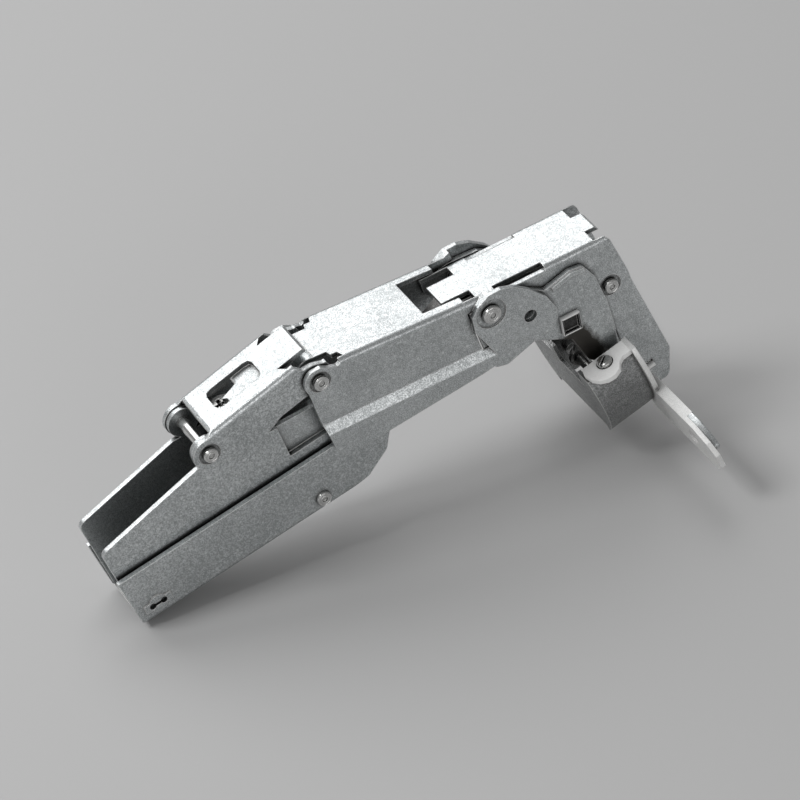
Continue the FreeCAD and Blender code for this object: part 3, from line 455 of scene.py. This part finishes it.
def painted_foot_shade(name, corner, along, depth):
    """The nickel sheet, painted near black as shade below a corner and behind the slanting line through
    it.
    """
    material = nickel_sheet.copy()
    material.name = name
    tree = material.node_tree
    shader = tree.nodes["Principled BSDF"]
    place = tree.nodes.new("ShaderNodeTexCoord")
    away = tree.nodes.new("ShaderNodeVectorMath")
    away.operation = "SUBTRACT"
    away.inputs[1].default_value = Vector(corner) * MM
    tree.links.new(place.outputs["Object"], away.inputs[0])
    reaches = []
    for side in (Vector((along[1], 0, -along[0])).normalized(), Vector((0, 0, -1))):
        reach = tree.nodes.new("ShaderNodeVectorMath")
        reach.operation = "DOT_PRODUCT"
        reach.inputs[1].default_value = side / (depth * MM)
        tree.links.new(away.outputs["Vector"], reach.inputs[0])
        reaches.append(reach.outputs["Value"])
    inside = maths_in(tree, "MINIMUM", *reaches)
    shade_noise = noise_in(tree, FOOT_SHADE_NOISE, 3)
    ragged = maths_in(tree, "ADD", inside, maths_in(tree, "SUBTRACT", shade_noise.outputs["Fac"], 0.5))
    black = range_in(tree, ragged, 0.0, 1.0)
    worn = shader.inputs["Base Color"].links[0].from_socket
    # Painted shade: the foot is darkened towards near black.
    tree.links.new(mixed(tree, black, worn, FOOT_SHADE_COLOUR), shader.inputs["Base Color"])
    return material


shaded_foot_lever = painted_foot_shade("shaded_foot_lever", FOOT_CORNER, FOOT_ALONG, FOOT_FADE)
print("metal:", shaded_foot_lever.name)

# %% [markdown]
# Now every node of the frame gets its metal. The record gives each one a material slot, which decides for
# most of them. A few pieces look different from their slot and are named one by one.

# %% Metals on the frame
FINISH = {
    # Painted light by copies of the plate: the inner lever and cup link take a darker shaded copy, the
    # ears a lit copy, the flange a half-lit copy.
    "inner_lever": shaded_inner_sheet,
    "cup_link": shaded_inner_sheet,
    "cup_lever": shaded_foot_lever,
    "cup_housing": cast_metal,
    "cup_flange": half_lit_sheet,
    "cup_ear_near": lit_copy_sheet,
    "cup_ear_far": lit_copy_sheet,
    "cup_screw_near": screw_metal,
    "cup_screw_far": screw_metal,
    "side_adjust_screw": screw_metal,
    "depth_cam_screw": screw_metal,
}
BY_SLOT = {
    "plated_steel": nickel_sheet,
    "pin_steel": rivet_metal,
    "screw_steel": screw_metal,
    "cast_zinc": nickel_sheet,
}
slot_of = {entry["node"]: entry["material_slot"] for entry in frame["record"]["subparts"]}
for node_name, node in frame["nodes"].items():
    finish = FINISH.get(node_name, BY_SLOT[slot_of[node_name]])
    if not node.material_slots:
        node.data.materials.append(finish)
    for material_slot in node.material_slots:
        material_slot.material = finish
print("finished", len(frame["nodes"]), "nodes")

# %% [markdown]
# Small turned and pressed details stand on the frame. A rivet head is upset by a hollow punch, which
# leaves a raised ring, a groove, a second ring and a pit. One head is modelled by insetting the end of a
# short cylinder again and again, each time with its own rise or fall, and the others are copies with
# their own mesh.


# %% Rivet faces
SIDES = (("near", -1), ("far", 1))
SMOOTH_UNDER = math.radians(35)


def only(thing):
    """Selects one object alone and makes it the active one."""
    bpy.ops.object.select_all(action="DESELECT")
    thing.select_set(True)
    bpy.context.view_layer.objects.active = thing


def pick_faces(thing, wanted):
    """Goes to edit mode with just those faces selected that a test of centre and normal picks."""
    bpy.ops.object.mode_set(mode="EDIT")
    bpy.ops.mesh.select_mode(type="FACE")
    bpy.ops.mesh.select_all(action="DESELECT")
    bpy.ops.object.mode_set(mode="OBJECT")
    for polygon in thing.data.polygons:
        polygon.select = wanted(polygon.center / MM, polygon.normal)
    bpy.ops.object.mode_set(mode="EDIT")


def finish_piece(thing, body, finish, bevel=0.0, segments=2):
    """Rounds a piece, smooths it, puts its place in its mesh and lets it ride on a body."""
    only(thing)
    bpy.ops.object.transform_apply(location=True, rotation=True, scale=True)
    if bevel:
        rounding = thing.modifiers.new("rounding", "BEVEL")
        rounding.width = bevel * MM
        rounding.segments = segments
        rounding.limit_method = "ANGLE"
        bpy.ops.object.modifier_apply(modifier="rounding")
    bpy.ops.object.shade_smooth_by_angle(angle=SMOOTH_UNDER)
    thing.data.materials.clear()
    thing.data.materials.append(finish)
    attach(thing, body)


HEAD_STEPS = ((0.22, 0.0), (0.18, -0.24), (0.12, 0.0), (0.16, 0.20), (0.22, 0.0), (0.12, -0.50))
HEAD_RADIUS = 1.66
HEAD_ROOT = 0.85
HEAD_RISE = 0.12
HEAD_ROUNDING = 0.05

bpy.ops.object.select_all(action="DESELECT")
bpy.ops.mesh.primitive_cylinder_add(vertices=32, radius=HEAD_RADIUS * MM, depth=HEAD_ROOT * MM)
first_head = bpy.context.object
pick_faces(first_head, lambda centre, normal: normal.z > 0.9)
for thickness, rise in HEAD_STEPS:
    bpy.ops.mesh.inset(thickness=thickness * MM, depth=rise * MM)
bpy.ops.object.mode_set(mode="OBJECT")
first_head.modifiers.new("rounding", "BEVEL").width = HEAD_ROUNDING * MM
only(first_head)
bpy.ops.object.modifier_apply(modifier="rounding")

RIVETS = (
    ("elbow", "elbow_rivet_near", "elbow_rivet_far", "middle"),
    ("tail", "tail_axle", "tail_axle", "arm"),
    ("heel", "heel_axle", "heel_axle", "arm"),
    ("cross", "cross_axle", "cross_axle", "front"),
    ("nose", "nose_axle", "nose_axle", "front"),
)
for joint, near_node, far_node, body in RIVETS:
    for side_name, side in SIDES:
        low, high = (Vector(corner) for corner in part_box(far_node if side > 0 else near_node))
        top = high.y if side > 0 else low.y
        head = first_head.copy()
        head.data = first_head.data.copy()
        head.name = f"{joint}_rivet_{side_name}_face"
        bpy.context.scene.collection.objects.link(head)
        centre = (low + high) / 2
        lift = (HEAD_RISE - HEAD_ROOT / 2) * MM
        head.data.transform(Matrix.Rotation(-side * math.pi / 2, 4, "X"))
        head.data.transform(Matrix.Translation((centre.x, top + side * lift, centre.z)))
        finish_piece(head, body, rivet_metal)
bpy.data.objects.remove(first_head)
print("rivet faces:", len(RIVETS) * len(SIDES))

# %% [markdown]
# The two screws in the cup's ears are plain slotted screws with a domed head. The dome is the end of a
# cylinder, inset in narrowing steps that rise less and less, and the slot is cut with a Boolean modifier
# whose cutter is deleted afterwards. They stand for the flat discs of the frame.

# %% Cup screws
SCREW_RADIUS = 1.9
SCREW_ROOT = 1.5
DOME_STEPS = ((0.12, 0.22), (0.22, 0.20), (0.38, 0.16), (0.45, 0.07))
SLOT_SIZE = (5, 0.62, 1.6)
SLOT_LEVEL = 1.35
SLOT_TURN = math.radians(35)
CUP_TILT = math.radians(-4.8)

for side_name, side in SIDES:
    low, high = (Vector(corner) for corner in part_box(f"cup_screw_{side_name}"))
    centre = (low + high) / 2
    bpy.ops.object.select_all(action="DESELECT")
    bpy.ops.mesh.primitive_cylinder_add(vertices=40, radius=SCREW_RADIUS * MM, depth=SCREW_ROOT * MM)
    screw = bpy.context.object
    screw.name = f"domed_screw_{side_name}"
    pick_faces(screw, lambda middle, normal: normal.z > 0.9)
    for thickness, rise in DOME_STEPS:
        bpy.ops.mesh.inset(thickness=thickness * MM, depth=rise * MM)
    bpy.ops.object.mode_set(mode="OBJECT")
    bpy.ops.object.select_all(action="DESELECT")
    bpy.ops.mesh.primitive_cube_add(size=1, location=(0, 0, SLOT_LEVEL * MM), rotation=(0, 0, SLOT_TURN))
    cutter = bpy.context.object
    cutter.scale = [length * MM for length in SLOT_SIZE]
    slot_cut = screw.modifiers.new("slot", "BOOLEAN")
    slot_cut.object = cutter
    slot_cut.operation = "DIFFERENCE"
    slot_cut.solver = "EXACT"
    only(screw)
    bpy.ops.object.modifier_apply(modifier="slot")
    bpy.data.objects.remove(cutter)
    screw.data.transform(Matrix.Translation(centre) @ Matrix.Rotation(CUP_TILT, 4, "Y"))
    finish_piece(screw, "cup", screw_metal)
    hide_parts(f"cup_screw_{side_name}")
    print(screw.name, "at", [round(value / MM, 1) for value in centre])

# %% [markdown]
# The sheet has two lanced bits on each side: the lip round the square hole in the cup lever, and the loop
# pushed out at the lower end of the front link. Each starts from a block, is opened or thinned by inset
# and extrude, and is bevelled until it looks pressed. Both take the lit copy of the plate, and the faces
# inside the square hole are painted near black as the shade of the hole.


# %% Pressed details
def block(name, centre, size, lean=0.0):
    """A block in mm, turned by an angle about Y, as the start of a pressed detail."""
    bpy.ops.object.select_all(action="DESELECT")
    bpy.ops.mesh.primitive_cube_add(size=1)
    thing = bpy.context.object
    thing.name = name
    thing.data.transform(Matrix.Diagonal((*(value * MM for value in size), 1)))
    thing.data.transform(Matrix.Translation(Vector(centre) * MM) @ Matrix.Rotation(lean, 4, "Y"))
    return thing


HOLE_X = 109.0
HOLE_Z = 8.55
HOLE_HALF = 2.2
LIP_Y = 10.2
LIP_SIZE = (4.9, 1.3, 5.1)
LIP_WALL = 0.5
LIP_DEPTH = 1.1
LIP_LEAN = math.radians(8.5)
LOOP_PLACE = (122.7, 8.55, -18.95)
LOOP_SIZE = (4.2, 1.1, 0.9)
LOOP_LEAN = math.radians(-4)

for side_name, side in SIDES:
    lip = block(f"square_lip_{side_name}", (HOLE_X, side * LIP_Y, HOLE_Z), LIP_SIZE, LIP_LEAN)
    pick_faces(lip, lambda centre, normal: normal.y * side > 0.9)
    bpy.ops.mesh.inset(thickness=LIP_WALL * MM, depth=0)
    bpy.ops.mesh.extrude_region_move(TRANSFORM_OT_translate={"value": (0, -side * LIP_DEPTH * MM, 0)})
    bpy.ops.object.mode_set(mode="OBJECT")
    finish_piece(lip, "middle", lit_copy_sheet, bevel=0.12)
    # The faces inside the square hole get painted shade, near black.
    lip.data.materials.append(painted_hole_shade)
    for polygon in lip.data.polygons:
        offset = polygon.center / MM - Vector((HOLE_X, 0, HOLE_Z))
        inside = max(abs(offset.x), abs(offset.z)) < HOLE_HALF
        polygon.material_index = 1 if inside else 0
    place = (LOOP_PLACE[0], side * LOOP_PLACE[1], LOOP_PLACE[2])
    loop = block(f"lanced_loop_{side_name}", place, LOOP_SIZE, LOOP_LEAN)
    pick_faces(loop, lambda centre, normal: normal.y * side > 0.9)
    bpy.ops.mesh.inset(thickness=0.12 * MM, depth=0.3 * MM)
    bpy.ops.object.mode_set(mode="OBJECT")
    finish_piece(loop, "front", lit_copy_sheet, bevel=0.22, segments=3)
    print(lip.name, "and", loop.name, "have", len(lip.data.polygons) + len(loop.data.polygons), "faces")

# %% [markdown]
# Each wing of the flange carries its lip on round the wing's shoulder as a curl. It is drawn in the cup's
# own axes: the outer face of a short block is extruded again and again, each step falling more than the
# one before, and the finished strip is then moved and tilted to where the cup stands.

# %% Wing curls
RIM_START = (30.6, -5.1)
RIM_STEPS = ((1.6, 0.0), (1.5, -0.12), (1.7, -0.55), (2.0, -0.80), (1.8, -0.95), (1.3, -1.10))
RIM_DEPTH = 2.7
RIM_INSET = 0.1
RIM_SECTION = (1.0, 1.15)
CUP_PLACE = Matrix.Translation(Vector((119.0, 0, -12.6)) * MM) @ Matrix.Rotation(CUP_TILT, 4, "Y")

for side_name, side in SIDES:
    place = (RIM_INSET + RIM_DEPTH / 2, side * RIM_START[0], RIM_START[1])
    curl = block(f"wing_curl_{side_name}", place, (RIM_DEPTH, *RIM_SECTION))
    pick_faces(curl, lambda centre, normal: normal.y * side > 0.9)
    for along, fall in RIM_STEPS:
        step = (0, side * along * MM, fall * MM)
        bpy.ops.mesh.extrude_region_move(TRANSFORM_OT_translate={"value": step})
    bpy.ops.object.mode_set(mode="OBJECT")
    curl.data.transform(CUP_PLACE)
    finish_piece(curl, "cup", nickel_sheet, bevel=0.3, segments=3)
    print(curl.name, "has", len(curl.data.polygons), "faces")
